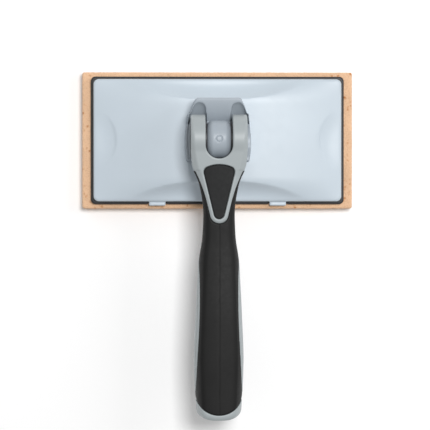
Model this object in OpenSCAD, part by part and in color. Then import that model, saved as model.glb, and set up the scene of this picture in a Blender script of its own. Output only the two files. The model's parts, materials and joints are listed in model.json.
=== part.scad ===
// Stain pad applicator with a push-button hinge between the pad plate and the handle.
// Frame: +Z up, origin at the centre of the foam's working face, X along the pad.
// At rest the handle points to -Y. Everything on the hinge is drawn around the pivot,
// with s = distance from the pivot towards the handle's end (y = -s).

/* [Pad] */
// Length of the foam pad
pad_l = 180; // [170:1:190]
// Width of the foam pad
pad_w = 91; // [86:1:96]
// Thickness of the foam
foam_t = 10; // [8:0.5:11]
// How far the foam stands past the carrier at each end
foam_end_margin = 6; // [4:0.5:8]
// How far the foam stands past the carrier along each long side
foam_side_margin = 3.2; // [2:0.2:4]

/* [Plate] */
// Height of the black carrier that holds the foam
carrier_t = 3.2; // [2.6:0.2:4]
// How far the plate stands inside the carrier's edge
plate_inset = 1.8; // [1:0.2:3]
// Height of the plate's upright rim
rim_h = 3.3; // [2.5:0.1:4]
// Wall thickness of the plate
plate_wall = 2; // [1.6:0.1:2.4]

/* [Hinge] */
// Height of the pivot axis above the foam's working face
pivot_h = 45; // [44:0.5:47]
// Radius of the two fork ears
ear_r = 16; // [15.5:0.1:16.2]
// Distance from the middle to each ear's outer face
ear_out = 18.5; // [18:0.1:18.6]
// Distance from the middle to each ear's inner face
ear_in = 8.8; // [8.7:0.05:8.9]
// Radius of the barrel between the ears
barrel_r = 12.3; // [12:0.1:12.4]
// Half the barrel's width
barrel_half = 7.85; // [7.8:0.05:7.9]
// Radius of the lock button
button_r = 12.65; // [12.4:0.05:12.7]
// How far the button travels when it is pressed
button_travel = 3.6; // [3.4:0.1:3.6]

/* [Handle] */
// Distance from the pivot to the handle's end
handle_l = 182.4; // [176:0.2:190]
// Gap left for the glue and the moulding line between handle pieces
bond_gap = 0.05; // [0.03:0.01:0.1]

/* [Pole socket] */
// Radius of the socket's bore, the minor radius of its thread
socket_r = 7.9; // [7.7:0.05:8.1]
// Length of the socket's bore
socket_l = 29; // [24:1:29]

/* [Hidden] */
$fn = 96;
eps = 0.01;
big = 400;

// heights of the stack, from the foam up
carrier_l = pad_l - 2 * foam_end_margin;
carrier_w = pad_w - 2 * foam_side_margin;
carrier_top = foam_t + carrier_t;
carrier_floor = 2;
plate_l = carrier_l - 2 * plate_inset;
plate_w = carrier_w - 2 * plate_inset;
rim_top = carrier_top + rim_h;
hub_top = 24;
hub_web = 2.5;

// footprint of the raised hub on the plate: the pedestal stands on it
hub_half_x = 23.5;
hub_back = 30;
hub_front = -17;

// outline halfway up the plate, which makes it fuller than a straight slope
mid_half_x = 60;
mid_half_y = 29;
mid_top = 21.5;

// scoops in the plate: an arc along each long side and at each end
scoop_slope_w = 9;
side_scoop_reach = 11;
side_scoop_half = 72;
end_scoop_reach = 21;
end_scoop_half = 31;
end_step_r = 15;
end_step_inner_r = 18;
end_step_shift = 9;
step_depth = 0.9;

// snap tabs on the plate's front edge, which hold the carrier
tab_x = 40;
tab_l = 11;
tab_t = 1.6;

// pedestal of the hinge
ped_half = 21.5;
ped_curve_r = 62.8;
ped_mid_y = -2;
ped_back = 27;
ped_front = -14;
ped_back_h = 44.5;
ped_front_h = 29;
pocket_r = ear_r + 1;
pocket_out = ear_out + 0.4;
pocket_back = 25.3;
pocket_wall = 1.2;
cheek_clear_r = button_r + 0.75;
block_front = -7.2;

// screws
screw_r = 1.5;
screw_head_r = 3.2;
screw_head_t = 2.2;
base_screw_back = [9.5, 21.5];
base_screw_front = [4.5, -5];

// lock: a toothed dog that slides in the barrel and into the left ear
teeth = 12;
dog_root = 7.4;
dog_tip = 8.8;
dog_gap = 0.12;
tooth_root_w = 2.5;
tooth_tip_w = 1.8;
dog_left = -12.2;
dog_right = -2.8;
ear_web_x = -12.15;
ear_tooth_clear = 0.25;
spline_end = 1.4;
spring_seat = 3.6;
spring_r = 4;
spring_wire_r = 0.45;
spring_turns = 6;
spring_pocket_r = 5;
spring_pocket_x = -7.8;
axle_r = 2.5;
axle_left = -13.9;
axle_right = 15;
run_gap = 0.06;
ring_x = -13.05;
ring_t = 0.7;
ring_r = 4.6;
ring_groove_r = 2.1;

// button cap
dome_h = 1.4;
cap_inside_x = -17.9;
skirt_end_x = -16;
skirt_wall = 1.45;
stem_r = 6.8;
stem_bore_r = 5.3;
stem_depth = 1.2;

// fork and handle
slot_round_s = ear_in - 0.05;
slot_bottom_s = 12.6;
fork_end_s = 24;
sleeve_start_s = 20.6;
tongue_top = 11.9;
tongue_bottom = 9.2;
tang_half_x = 5.2;
tang_half_z = 1.9;
tang_z = 5.4;
tang_end_s = 48;
core_start_s = 24.05;
core_end_s = 177.5;
core_tube_r = 12;
core_tube_s = 143;
axis_drop = -1.5;
insert_r = 10.8;
insert_start_s = 148;
insert_end_s = 180;
cap_arc_r = 16.05;
cap_arc_s = 162.4;
end_arc_r = 30;
fork_screw_s = [28, 40];
fork_screw_top = 10.2;
fork_screw_head_t = 0.8;
fork_screw_head_r = 2.4;

// stations along the grip: [s, half width, half thickness, height of the middle]
GRIP = [
    [20, 16.8, 6.6, 5.0],
    [24, 14.9, 6.2, 5.2],
    [28, 13.3, 6.0, 5.4],
    [33, 12.1, 5.7, 5.6],
    [45, 10.35, 5.8, 5.5],
    [56, 10.4, 6.8, 4.5],
    [66, 11.1, 8.0, 3.0],
    [76, 12.7, 9.6, 1.6],
    [92, 13.8, 12.0, 0],
    [115, 15.0, 13.8, -1.0],
    [144, 16.0, 14.0, -1.5],
    [160, 15.5, 13.6, -1.5],
    [172, 14.9, 13.3, -1.5],
    [184, 14.2, 12.8, -1.5]
];
grip_power = 2.3;
grip_sides = 28;
grip_step = 6;

// lens-shaped side inlays
lens_start_s = 76;
lens_end_s = 161;
lens_half_h = 8.2;

// ---------- helpers ----------

module at_pivot() {
    translate([0, 0, pivot_h])
        children();
}

// round bar along X from x0 to x1
module bar_x(x0, x1, r) {
    translate([x0, 0, 0])
        rotate([0, 90, 0])
            cylinder(h = x1 - x0, r = r);
}

// round bar along the handle from s0 to s1
module bar_s(s0, s1, r, z = axis_drop) {
    translate([0, -s0, z])
        rotate([90, 0, 0])
            cylinder(h = s1 - s0, r = r);
}

// side outline given as [y, z], extruded across X
module across_x(half) {
    rotate([90, 0, 90])
        linear_extrude(2 * half, center = true)
            children();
}

module round_rect(l, w, r) {
    square([l - 2 * r, w], center = true);
    square([l, w - 2 * r], center = true);
    for (x = [-1, 1], y = [-1, 1])
        translate([x * (l / 2 - r), y * (w / 2 - r)])
            circle(r);
}

// outline symmetric about the handle's middle, from points [half width, s]
function both_sides(pts) = concat(
    [for (p = pts) [p[0], -p[1]]],
    [for (i = [len(pts) - 1:-1:0]) [-pts[i][0], -pts[i][1]]]);

// points [half width, s] of the round end of a tongue, r wide, ending at s_end
function round_tip(r, s_end) = [for (a = [0:15:90]) [r * cos(a), s_end - r + r * sin(a)]];

// toothed outline: teeth on a round root
module toothed(root, tip, root_w, tip_w) {
    circle(root);
    intersection() {
        circle(tip);
        for (i = [0:teeth - 1])
            rotate(i * 360 / teeth)
                polygon([[root - 1, -root_w / 2], [tip + 1, -tip_w / 2],
                    [tip + 1, tip_w / 2], [root - 1, root_w / 2]]);
    }
}

// toothed prism along X from x0 to x1
module toothed_x(x0, x1, root, tip, root_w, tip_w) {
    translate([x0, 0, 0])
        rotate([0, 90, 0])
            linear_extrude(x1 - x0)
                toothed(root, tip, root_w, tip_w);
}

// smooth value of column c of GRIP at distance s
function grip_seg(s, i = 0) = i >= len(GRIP) - 2 || s <= GRIP[i + 1][0] ? i : grip_seg(s, i + 1);
function grip_slope(i, c) = i == 0 || i == len(GRIP) - 1 ? 0
    : (GRIP[i + 1][c] - GRIP[i - 1][c]) / (GRIP[i + 1][0] - GRIP[i - 1][0]);
function hermite(t, p0, m0, p1, m1) = (2 * t ^ 3 - 3 * t ^ 2 + 1) * p0 + (t ^ 3 - 2 * t ^ 2 + t) * m0
    + (3 * t ^ 2 - 2 * t ^ 3) * p1 + (t ^ 3 - t ^ 2) * m1;
function grip_at(s, c) =
    let (i = grip_seg(s), h = GRIP[i + 1][0] - GRIP[i][0], t = (s - GRIP[i][0]) / h)
    hermite(t, GRIP[i][c], h * grip_slope(i, c), GRIP[i + 1][c], h * grip_slope(i + 1, c));

// one ring of the grip's skin
function grip_ring(s) = [for (k = [0:grip_sides - 1])
    let (a = 360 * k / grip_sides, p = 2 / grip_power)
    [grip_at(s, 1) * sign(cos(a)) * abs(cos(a)) ^ p, -s,
        grip_at(s, 3) + grip_at(s, 2) * sign(sin(a)) * abs(sin(a)) ^ p]];

// closed skin through equal rings of points
module skin(rings) {
    n = len(rings[0]);
    m = len(rings);
    polyhedron(
        points = [for (ring = rings) each ring],
        faces = concat(
            [[for (k = [0:n - 1]) k]],
            [for (j = [0:m - 2], k = [0:n - 1])
                [j * n + k, (j + 1) * n + k, (j + 1) * n + (k + 1) % n, j * n + (k + 1) % n]],
            [[for (k = [n - 1:-1:0]) (m - 1) * n + k]]));
}

module grip_solid(s0, s1) {
    steps = ceil((s1 - s0) / grip_step);
    skin([for (j = [0:steps]) grip_ring(s0 + (s1 - s0) * j / steps)]);
}

// ---------- pad ----------

module foam_pad() {
    color([0.878, 0.698, 0.549])
        linear_extrude(foam_t)
            round_rect(pad_l, pad_w, 3);
}

module pad_carrier() {
    frame_gap = 0.3;
    frame_w = 1.6;
    frame_h = 1.2;
    color([0.09, 0.09, 0.1])
        difference() {
            union() {
                translate([0, 0, foam_t])
                    linear_extrude(carrier_t)
                        round_rect(carrier_l, carrier_w, 3);
                translate([0, 0, carrier_top - eps])
                    linear_extrude(frame_h + eps)
                        round_rect(plate_l - 2 * (plate_wall + frame_gap),
                            plate_w - 2 * (plate_wall + frame_gap), 2);
            }
            translate([0, 0, foam_t + carrier_floor])
                linear_extrude(big)
                    round_rect(plate_l - 2 * (plate_wall + frame_gap + frame_w),
                        plate_w - 2 * (plate_wall + frame_gap + frame_w), 2);
            for (x = [-1, 1])
                translate([x * tab_x, -carrier_w / 2, foam_t + carrier_t / 2])
                    cube([tab_l + 1, 1.6, carrier_t + 1], center = true);
        }
}

// ---------- plate ----------

// radius of the arc over a chord of the given half length, with the given height
function arc_r(half, rise) = (half ^ 2 + rise ^ 2) / (2 * rise);

// cone whose floor is at rim level and whose wall rises towards the hub
module scoop(r_top, floor_z) {
    translate([0, 0, floor_z])
        cylinder(h = hub_top - rim_top, r1 = r_top - scoop_slope_w, r2 = r_top);
    translate([0, 0, floor_z + hub_top - rim_top - eps])
        cylinder(h = 10, r = r_top);
}

// the plate's outer form, or with an inset and a drop the hollow inside it
module plate_form(inset, drop) {
    l = plate_l - 2 * inset;
    w = plate_w - 2 * inset;
    side_r = arc_r(side_scoop_half, side_scoop_reach);
    end_r = arc_r(end_scoop_half, end_scoop_reach);
    translate([0, 0, carrier_top - drop])
        linear_extrude(rim_h)
            round_rect(l, w, 3.5 - inset / 2);
    difference() {
        hull() {
            translate([0, 0, rim_top - drop - eps])
                linear_extrude(eps)
                    square([l - 1, w - 1], center = true);
            translate([0, 0, mid_top - drop - eps])
                linear_extrude(eps)
                    square(2 * [mid_half_x - inset, mid_half_y - inset], center = true);
            translate([-hub_half_x + inset, hub_front + inset, hub_top - drop - eps])
                cube([2 * (hub_half_x - inset), hub_back - hub_front - 2 * inset, eps]);
        }
        for (y = [-1, 1])
            translate([0, y * (plate_w / 2 - side_scoop_reach + side_r), 0])
                scoop(side_r + inset, rim_top - drop);
        for (x = [-1, 1])
            translate([x * (plate_l / 2 - end_scoop_reach + end_r), 0, 0])
                scoop(end_r + inset, rim_top - drop);
    }
}

// short arc-shaped step in the floor of each end scoop
module end_step() {
    difference() {
        cylinder(h = 2 * step_depth, r = end_step_r);
        translate([end_step_shift, 0, -eps])
            cylinder(h = 3 * step_depth, r = end_step_inner_r);
    }
}

module base_screw_places() {
    for (x = [-1, 1], p = [base_screw_back, base_screw_front])
        translate([x * p[0], p[1], 0])
            children();
}

// hook that reaches over the carrier's edge and down into its notch
module snap_tab() {
    front = carrier_w / 2 + tab_t - 0.6;
    translate([-tab_l / 2, -front, foam_t + 0.6])
        cube([tab_l, tab_t - 0.1, carrier_t + tab_t]);
    translate([-tab_l / 2, -front, carrier_top + 0.1])
        cube([tab_l, front - plate_w / 2 + 1, tab_t]);
}

module top_plate() {
    rib_t = 1.6;
    rib_pitch = 24;
    rib_bottom = carrier_top + 2.4;
    color([0.72, 0.76, 0.8])
        difference() {
            union() {
                difference() {
                    plate_form(0, 0);
                    plate_form(plate_wall, plate_wall);
                }
                intersection() {
                    plate_form(eps, eps);
                    union() {
                        for (i = [-3:3])
                            translate([i * rib_pitch - rib_t / 2, -big / 2, rib_bottom])
                                cube([rib_t, big, big]);
                        translate([-big / 2, -rib_t / 2, rib_bottom])
                            cube([big, rib_t, big]);
                        base_screw_places()
                            translate([0, 0, hub_top - hub_web])
                                cylinder(h = hub_web, r = screw_head_r + 1.6);
                    }
                }
                for (x = [-1, 1])
                    translate([x * tab_x, 0, 0])
                        snap_tab();
            }
            base_screw_places() {
                cylinder(h = big, r = screw_r + 0.2);
                cylinder(h = hub_top - hub_web, r = screw_head_r + 0.3);
            }
            for (turn = [0, 180])
                rotate(turn)
                    translate([plate_l / 2 - 1.5, 0, rim_top - step_depth])
                        end_step();
        }
}

// ---------- hinge base ----------

module pedestal_outline() {
    intersection() {
        translate([-(ped_curve_r - ped_half), ped_mid_y])
            circle(ped_curve_r, $fn = 200);
        translate([ped_curve_r - ped_half, ped_mid_y])
            circle(ped_curve_r, $fn = 200);
        translate([-big / 2, ped_front])
            square([big, ped_back - ped_front]);
    }
}

// hollow behind an ear: a ramp down from the back rim, with a thin wall left outside it
module back_pocket() {
    intersection() {
        translate([0, 0, hub_top + 1])
            linear_extrude(big)
                offset(delta = -pocket_wall)
                    pedestal_outline();
        translate([barrel_half, 0, pivot_h])
            rotate([90, 0, 90])
                linear_extrude(ear_out)
                    polygon([[0, 0], [12, -12], [pocket_back, -1.2], [pocket_back, 5]]);
    }
}

module hinge_base() {
    color([0.66, 0.69, 0.73])
        difference() {
            union() {
                intersection() {
                    translate([0, 0, hub_top])
                        linear_extrude(big)
                            pedestal_outline();
                    across_x(big / 2)
                        polygon([[ped_front, hub_top], [ped_back, hub_top],
                            [ped_back, ped_back_h], [ped_front, ped_front_h]]);
                }
                translate([-barrel_half, block_front, hub_top + 1])
                    cube([2 * barrel_half, 9 - block_front, pivot_h - hub_top - 1]);
                at_pivot()
                    bar_x(-barrel_half, barrel_half, barrel_r);
            }
            at_pivot() {
                for (x = [-1, 1])
                    scale([x, 1, 1]) {
                        bar_x(barrel_half, pocket_out, pocket_r);
                        bar_x(pocket_out - eps, ped_half + 5, cheek_clear_r);
                    }
                toothed_x(-barrel_half - eps, spline_end, dog_root + dog_gap, dog_tip + dog_gap,
                    tooth_root_w + 2 * dog_gap, tooth_tip_w + 2 * dog_gap);
                bar_x(spline_end - 1, spring_seat, spring_pocket_r + 0.3);
                bar_x(spring_seat - 1, barrel_half + 1, axle_r + run_gap);
                translate([0, 0, barrel_r - 0.5])
                    cylinder(h = 1, r = 2.1);
            }
            for (side = [0, 1])
                mirror([side, 0, 0])
                    back_pocket();
            base_screw_places()
                cylinder(h = hub_top + 9.5, r = screw_r);
        }
}

module base_screws() {
    color([0.62, 0.63, 0.65])
        base_screw_places() {
            translate([0, 0, hub_top - hub_web - screw_head_t])
                difference() {
                    cylinder(h = screw_head_t, r = screw_head_r);
                    for (a = [0, 90])
                        rotate(a)
                            cube([3.6, 0.8, 2.4], center = true);
                }
            translate([0, 0, hub_top - hub_web - eps])
                cylinder(h = hub_web + 9, r = screw_r);
        }
}

// ---------- lock ----------

module washer_x(x0, r_in, r_out) {
    thickness = ear_in - barrel_half - 0.1;
    at_pivot()
        difference() {
            bar_x(x0, x0 + thickness, r_out);
            bar_x(x0 - 1, x0 + thickness + 1, r_in);
        }
}

module thrust_washer_left() {
    color([0.2, 0.2, 0.21])
        washer_x(-ear_in + 0.05, dog_tip + 0.4, barrel_r - 0.6);
}

module thrust_washer_right() {
    color([0.2, 0.2, 0.21])
        washer_x(barrel_half + 0.05, axle_r + 0.3, barrel_r - 0.6);
}

module return_spring() {
    sides = 8;
    per_turn = 14;
    x0 = spring_pocket_x + spring_wire_r + 0.05;
    x1 = spring_seat - spring_wire_r - 0.05;
    steps = spring_turns * per_turn;
    color([0.7, 0.71, 0.72])
        at_pivot()
            skin([for (j = [0:steps])
                let (a = 360 * j / per_turn, x = x0 + (x1 - x0) * j / steps)
                [for (k = [0:sides - 1])
                    let (b = -360 * k / sides, r = spring_r + spring_wire_r * cos(b))
                    [x + spring_wire_r * sin(b), r * cos(a), r * sin(a)]]]);
}

module pivot_axle() {
    color([0.72, 0.73, 0.75])
        at_pivot()
            difference() {
                bar_x(axle_left, axle_right, axle_r);
                difference() {
                    bar_x(ring_x, ring_x + ring_t, axle_r + 1);
                    bar_x(ring_x - 1, ring_x + ring_t + 1, ring_groove_r);
                }
            }
}

module retaining_ring() {
    color([0.4, 0.4, 0.42])
        at_pivot()
            difference() {
                bar_x(ring_x + 0.05, ring_x + ring_t - 0.05, ring_r);
                bar_x(ring_x - 1, ring_x + ring_t + 1, ring_groove_r + 0.05);
                translate([ring_x - 1, -1.4, -ring_r - 1])
                    cube([ring_t + 2, 2.8, ring_r + 1]);
            }
}

module lock_dog() {
    color([0.2, 0.2, 0.21])
        at_pivot()
            difference() {
                toothed_x(dog_left, dog_right, dog_root, dog_tip, tooth_root_w, tooth_tip_w);
                bar_x(dog_left - 1, dog_right + 1, axle_r + run_gap);
                bar_x(spring_pocket_x, dog_right + 1, spring_pocket_r);
                difference() {
                    bar_x(dog_left - 1, dog_left + stem_depth, stem_r + 0.03);
                    bar_x(dog_left - 2, dog_left + stem_depth + 1, stem_bore_r - 0.05);
                }
            }
}

module lock_button() {
    apex = -ear_out - dome_h;
    dome_r = arc_r(button_r, dome_h);
    color([0.12, 0.12, 0.13])
        at_pivot() {
            difference() {
                intersection() {
                    bar_x(apex - 1, skirt_end_x, button_r);
                    translate([apex + dome_r, 0, 0])
                        sphere(dome_r, $fn = 200);
                }
                bar_x(cap_inside_x, skirt_end_x + 1, button_r - skirt_wall);
            }
            difference() {
                bar_x(cap_inside_x - 0.4, dog_left + stem_depth - 0.05, stem_r);
                bar_x(cap_inside_x, dog_left + stem_depth + 1, stem_bore_r);
            }
        }
}

// ---------- fork ----------

// outlines from above, as points [half width, s]
FORK_PLAN = [[18.5, -17], [18.5, 8], [17.9, 13], [17.4, 17], [16.4, 20.2], [15, 21.2],
    [13.3, fork_end_s]];
TONGUE_PLAN = concat([[15, 21.2], [12.8, 26], [10.8, 30.9], [8, 39.4], [6, 48]],
    round_tip(5.6, 54.5));
INLAY_PLAN = concat(
    [for (x = [0:2.5:10]) [x, 16.5 + 4.2 * (x / 10.3) ^ 2]],
    [[10.3, 20.7], [7.3, 33.7], [3.4, 48.6]], round_tip(2.8, 51.9));

module inlay_outline(gap) {
    offset(delta = gap)
        polygon(both_sides(INLAY_PLAN));
}

module tongue_outline() {
    polygon(both_sides(TONGUE_PLAN));
}

module fork_profile() {
    circle(ear_r);
    polygon([[-6.8, 14.4], [-fork_end_s, tongue_top], [-fork_end_s, -1], [-8.5, -13.5],
        [0, 0]]);
}

module hinge_fork() {
    color([0.675, 0.714, 0.718])
        at_pivot()
            difference() {
                union() {
                    intersection() {
                        across_x(ear_out)
                            fork_profile();
                        translate([0, 0, -50])
                            linear_extrude(100)
                                polygon(both_sides(FORK_PLAN));
                    }
                    translate([0, 0, tongue_bottom])
                        linear_extrude(tongue_top - tongue_bottom)
                            tongue_outline();
                    translate([-tang_half_x, -tang_end_s, tang_z - tang_half_z])
                        cube([2 * tang_half_x, tang_end_s - fork_end_s + 1, 2 * tang_half_z]);
                }
                // slot for the barrel
                translate([-ear_in, -(slot_bottom_s - ear_in), -50])
                    cube([2 * ear_in, 100, 100]);
                translate([0, -(slot_bottom_s - ear_in), -50])
                    cylinder(h = 100, r = ear_in);
                bar_x(-ear_in, ear_in, barrel_r + 0.45);
                // left ear: button recess and toothed window
                bar_x(-ear_out - 1, ear_web_x, button_r + 0.25);
                toothed_x(-ear_out, 0, dog_tip + ear_tooth_clear, dog_tip + 1.6,
                    tooth_root_w + 0.6, tooth_tip_w + 0.6);
                // right ear: seat of the axle, cored out around its boss
                bar_x(0, axle_right, axle_r);
                difference() {
                    bar_x(ear_in + 2.4, axle_right, ear_r - 3);
                    bar_x(ear_in, axle_right + 1, axle_r + 2.6);
                    translate([0, 0, -1])
                        cube([100, 100, 2], center = true);
                }
                translate([0, 0, tongue_top - 1.6])
                    linear_extrude(5)
                        inlay_outline(bond_gap);
                for (s = fork_screw_s)
                    translate([0, -s, 0]) {
                        cylinder(h = 20, r = screw_r);
                        translate([0, 0, fork_screw_top - fork_screw_head_t])
                            cylinder(h = 5, r = fork_screw_head_r + 0.1);
                    }
            }
}

module fork_screws() {
    bottom = tang_z - tang_half_z + 0.3;
    color([0.62, 0.63, 0.65])
        at_pivot()
            for (s = fork_screw_s)
                translate([0, -s, 0])
                    difference() {
                        union() {
                            translate([0, 0, bottom])
                                cylinder(h = fork_screw_top - bottom, r = screw_r);
                            translate([0, 0, fork_screw_top - fork_screw_head_t])
                                cylinder(h = fork_screw_head_t, r = fork_screw_head_r);
                        }
                        for (a = [0, 90])
                            translate([0, 0, fork_screw_top])
                                rotate(a)
                                    cube([2.8, 0.6, 0.8], center = true);
                    }
}

module thumb_inlay() {
    color([0.2, 0.21, 0.224])
        at_pivot()
            translate([0, 0, tongue_top - 1.6 + bond_gap])
                linear_extrude(1.6)
                    inlay_outline(-bond_gap);
}

// ---------- grip ----------

// the core's outer form, or with a gap the space that it fits into
module core_form(gap) {
    tail = core_tube_s + 10;
    intersection() {
        translate([0, 0, -50])
            linear_extrude(100)
                polygon(both_sides([[8 + gap, core_start_s - gap], [7.6 + gap, 50], [9.4 + gap, 74],
                    [10.5 + gap, 110], [10.5 + gap, tail]]));
        across_x(20)
            polygon([[-core_start_s + gap, 9.3 + gap], [-54, 9.3 + gap], [-62, 8.6 + gap],
                [-92, 8 + gap], [-110, 8.4 + gap], [-tail, 8.4 + gap], [-tail, -11 - gap], [-110, -10.4 - gap],
                [-92, -8 - gap], [-56, 0.6 - gap], [-core_start_s + gap, 2 - gap]]);
    }
    bar_s(core_tube_s - gap, core_end_s + gap, core_tube_r + gap);
}

module grip_core() {
    hollow_half = 6.5;
    color([0.64, 0.68, 0.69])
        at_pivot()
            difference() {
                core_form(0);
                translate([-tang_half_x - bond_gap, -tang_end_s - 1, tang_z - tang_half_z - bond_gap])
                    cube([2 * (tang_half_x + bond_gap), tang_end_s, 2 * (tang_half_z + bond_gap)]);
                translate([0, 0, tongue_bottom - bond_gap])
                    linear_extrude(20)
                        tongue_outline();
                bar_s(insert_start_s, core_end_s + 1, insert_r);
                // hollow middle with a rib across it
                for (span = [[72, 108], [111, 140]])
                    translate([-hollow_half, -span[1], -6])
                        cube([2 * hollow_half, span[1] - span[0], 11]);
                for (s = fork_screw_s)
                    translate([0, -s, 0])
                        cylinder(h = 20, r = screw_r);
            }
}

module before_cap_arc(gap) {
    translate([-50, -cap_arc_s, -50])
        cube([100, cap_arc_s, 100]);
    translate([0, -cap_arc_s, -50])
        cylinder(h = 100, r = cap_arc_r - gap);
}

// lens seen from the side, centred on the grip's middle height
module lens_outline(grow) {
    half = (lens_end_s - lens_start_s) / 2;
    mid_s = (lens_end_s + lens_start_s) / 2;
    r = arc_r(half, lens_half_h) + grow;
    intersection() {
        translate([-mid_s, axis_drop - r + lens_half_h + grow])
            circle(r, $fn = 180);
        translate([-mid_s, axis_drop + r - lens_half_h - grow])
            circle(r, $fn = 180);
    }
}

module grip_sleeve() {
    color([0.11, 0.11, 0.115])
        at_pivot()
            difference() {
                intersection() {
                    grip_solid(sleeve_start_s, 181);
                    before_cap_arc(0);
                }
                core_form(bond_gap);
                bar_s(core_end_s - 1, 200, insert_r + bond_gap);
                translate([0, 0, -50])
                    linear_extrude(100)
                        offset(delta = bond_gap)
                            polygon(both_sides(FORK_PLAN));
                translate([0, 0, tongue_bottom - bond_gap])
                    linear_extrude(20)
                        offset(delta = bond_gap)
                            tongue_outline();
                across_x(50)
                    lens_outline(bond_gap);
            }
}

module side_inlay(side) {
    color([0.66, 0.7, 0.71])
        at_pivot()
            intersection() {
                difference() {
                    grip_solid(lens_start_s - 4, lens_end_s + 4);
                    core_form(bond_gap);
                }
                across_x(50)
                    lens_outline(0);
                translate([side > 0 ? 0 : -50, -200, -50])
                    cube([50, 200, 100]);
            }
}

module side_inlay_left() {
    side_inlay(-1);
}

module side_inlay_right() {
    side_inlay(1);
}

module end_cap() {
    color([0.62, 0.655, 0.67])
        at_pivot()
            difference() {
                intersection() {
                    grip_solid(cap_arc_s, 184);
                    translate([0, -(handle_l - end_arc_r), -50])
                        cylinder(h = 100, r = end_arc_r);
                }
                before_cap_arc(-bond_gap);
                bar_s(0, core_end_s + bond_gap, core_tube_r + bond_gap);
                bar_s(0, 200, insert_r + bond_gap);
            }
}

module pole_socket() {
    color([0.16, 0.16, 0.17])
        at_pivot()
            difference() {
                bar_s(insert_start_s, insert_end_s, insert_r - 0.02);
                bar_s(insert_end_s - socket_l, insert_end_s + 1, socket_r);
            }
}

foam_pad();
pad_carrier();
top_plate();
hinge_base();
base_screws();
thrust_washer_left();
thrust_washer_right();
return_spring();
hinge_fork();
fork_screws();
thumb_inlay();
grip_core();
grip_sleeve();
side_inlay_left();
side_inlay_right();
end_cap();
pole_socket();
pivot_axle();
retaining_ring();
lock_button();
lock_dog();
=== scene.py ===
"""Looks of the stain pad applicator: foam pad, scooped plate, push-button hinge and soft grip.

Lengths in the shape functions are in millimetres. Hinge and handle shapes are drawn around the
pivot, where s is the distance from the pivot towards the handle's end.
"""
import json
import math

import bpy
import numpy as np
from mathutils import Matrix, Vector, noise


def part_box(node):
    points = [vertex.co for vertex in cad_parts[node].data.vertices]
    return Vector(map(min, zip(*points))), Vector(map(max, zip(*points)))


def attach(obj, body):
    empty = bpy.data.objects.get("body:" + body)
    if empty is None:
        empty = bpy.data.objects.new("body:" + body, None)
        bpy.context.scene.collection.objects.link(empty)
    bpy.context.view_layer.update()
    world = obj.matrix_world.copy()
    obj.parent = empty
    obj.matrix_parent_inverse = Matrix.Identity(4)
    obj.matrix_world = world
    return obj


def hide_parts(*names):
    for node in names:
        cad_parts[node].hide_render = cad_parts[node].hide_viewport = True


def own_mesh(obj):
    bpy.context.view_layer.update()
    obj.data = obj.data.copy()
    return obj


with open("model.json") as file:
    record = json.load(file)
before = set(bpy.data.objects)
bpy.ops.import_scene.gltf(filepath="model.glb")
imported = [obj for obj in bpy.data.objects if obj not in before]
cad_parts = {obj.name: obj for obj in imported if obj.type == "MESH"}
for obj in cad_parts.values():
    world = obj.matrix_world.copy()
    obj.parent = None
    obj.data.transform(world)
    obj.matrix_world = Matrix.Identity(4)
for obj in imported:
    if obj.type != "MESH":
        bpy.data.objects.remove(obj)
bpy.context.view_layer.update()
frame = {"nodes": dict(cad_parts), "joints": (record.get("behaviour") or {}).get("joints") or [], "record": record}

MM = 0.001
PIVOT = np.array(next(j["pos_m"] for j in frame["joints"] if j["name"] == "handle_pivot")) / MM


def node_box(node):
    """Lowest and highest corner of a CAD node, in millimetres."""
    low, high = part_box(node)
    return np.array(low) / MM, np.array(high) / MM


# ---------- fields: negative inside, in millimetres ----------

def blend_min(a, b, k):
    h = np.clip(0.5 + 0.5 * (b - a) / k, 0, 1)
    return b + (a - b) * h - k * h * (1 - h)


def blend_max(a, b, k):
    return -blend_min(-a, -b, k)


def slab(v, low, high):
    """Distance outside the stretch from low to high."""
    return np.maximum(low - v, v - high)


def rounded_rect(x, y, half_x, half_y, r):
    dx = np.abs(x) - half_x + r
    dy = np.abs(y) - half_y + r
    return np.hypot(np.maximum(dx, 0), np.maximum(dy, 0)) + np.minimum(np.maximum(dx, dy), 0) - r


def half_plane(a, b, start, end):
    """Distance from the line through two points, positive on its left."""
    du, dv = end[0] - start[0], end[1] - start[1]
    return (du * (b - start[1]) - dv * (a - start[0])) / math.hypot(du, dv)


def outline(x, s, stations):
    """Field of a shape with the half widths of stations [(s, half width), ...]."""
    at, width = zip(*stations)
    w = np.interp(s, at, width)
    slope = (np.interp(s + 0.5, at, width) - np.interp(s - 0.5, at, width))
    return (np.abs(x) - w) / np.hypot(1, slope)


def teeth(y, z, root, tip, root_w, tip_w, count=12):
    """Toothed bar: a round root with teeth of the given widths."""
    radius = np.hypot(y, z)
    step = 2 * math.pi / count
    angle = (np.arctan2(z, y) + step / 2) % step - step / 2
    out, across = radius * np.cos(angle), radius * np.abs(np.sin(angle))
    half = (root_w + (out - root + 1) / (tip - root + 2) * (tip_w - root_w)) / 2
    return np.minimum(radius - root, np.maximum(across - half, radius - tip))


# ---------- meshes ----------

CORNERS = [(i, j, k) for i in (0, 1) for j in (0, 1) for k in (0, 1)]
EDGES = [(a, b) for a in range(8) for b in range(a + 1, 8)
         if sum(abs(p - q) for p, q in zip(CORNERS[a], CORNERS[b])) == 1]
SETTLE_STEPS = 3
PROBE = 0.05


def make_object(name, points, faces, origin=(0, 0, 0)):
    """Mesh object from points in millimetres."""
    mesh = bpy.data.meshes.new(name)
    mesh.from_pydata(((np.asarray(points) + np.asarray(origin)) * MM).tolist(), [], faces)
    mesh.polygons.foreach_set("use_smooth", [True] * len(mesh.polygons))
    mesh.update()
    piece = bpy.data.objects.new(name, mesh)
    bpy.context.scene.collection.objects.link(piece)
    return piece


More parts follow.
